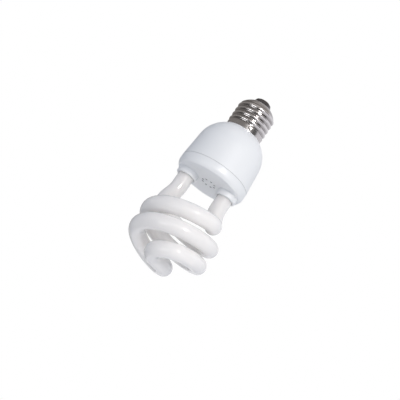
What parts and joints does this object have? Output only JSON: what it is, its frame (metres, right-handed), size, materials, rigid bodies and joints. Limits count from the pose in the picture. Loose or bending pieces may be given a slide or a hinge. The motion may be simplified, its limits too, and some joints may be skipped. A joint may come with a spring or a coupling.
{
  "type": "compact fluorescent uv bulb",
  "caption": "Compact fluorescent lamp with a metal screw cap, a white ballast housing and a half-spiral white glass tube on two legs.",
  "frame": {"origin": "middle of the centre contact's outer face", "axes": "+Z out of the cap along the lamp's axis, +X towards one leg of the tube, with the lamp hanging cap up"},
  "size_m": [0.057, 0.0568, 0.1339],
  "materials": {
    "contact_metal": "dull, darkened",
    "black_glass": "glossy black glass",
    "nickel_shell": "bright nickel plate",
    "white_plastic": "satin moulding",
    "coated_glass": "glossy glass over a white coating",
    "cement": "chalky",
    "board_laminate": "brown paper laminate",
    "tinned_wire": "tinned",
    "ferrite": "ground ferrite",
    "bobbin_plastic": "plain moulding",
    "enamelled_copper": "enamelled wire",
    "capacitor_sleeve": "shrunk sleeve",
    "black_resin": "moulded resin",
    "film_resin": "dipped resin",
    "resistor_lacquer": "lacquered",
    "lead_insulation": "soft insulation"
  },
  "bodies": {
    "root": {"centre_contact": "contact_metal", "cap_insulator": "black_glass", "screw_shell": "nickel_shell", "upper_housing": "white_plastic", "lower_cover": "white_plastic", "spiral_tube": "coated_glass", "tube_cement": "cement", "ballast_board": "board_laminate", "wrap_pins": "tinned_wire", "tube_leads": "tinned_wire", "choke_core": "ferrite", "choke_bobbin": "bobbin_plastic", "choke_winding": "enamelled_copper", "smoothing_capacitor": "capacitor_sleeve", "toroid_core": "ferrite", "toroid_windings": "enamelled_copper", "transistors": "black_resin", "film_capacitors": "film_resin", "rectifier_diodes": "black_resin", "board_resistors": "resistor_lacquer", "fuse_resistor": "resistor_lacquer", "shell_lead": "lead_insulation"}
  },
  "joints": []
}
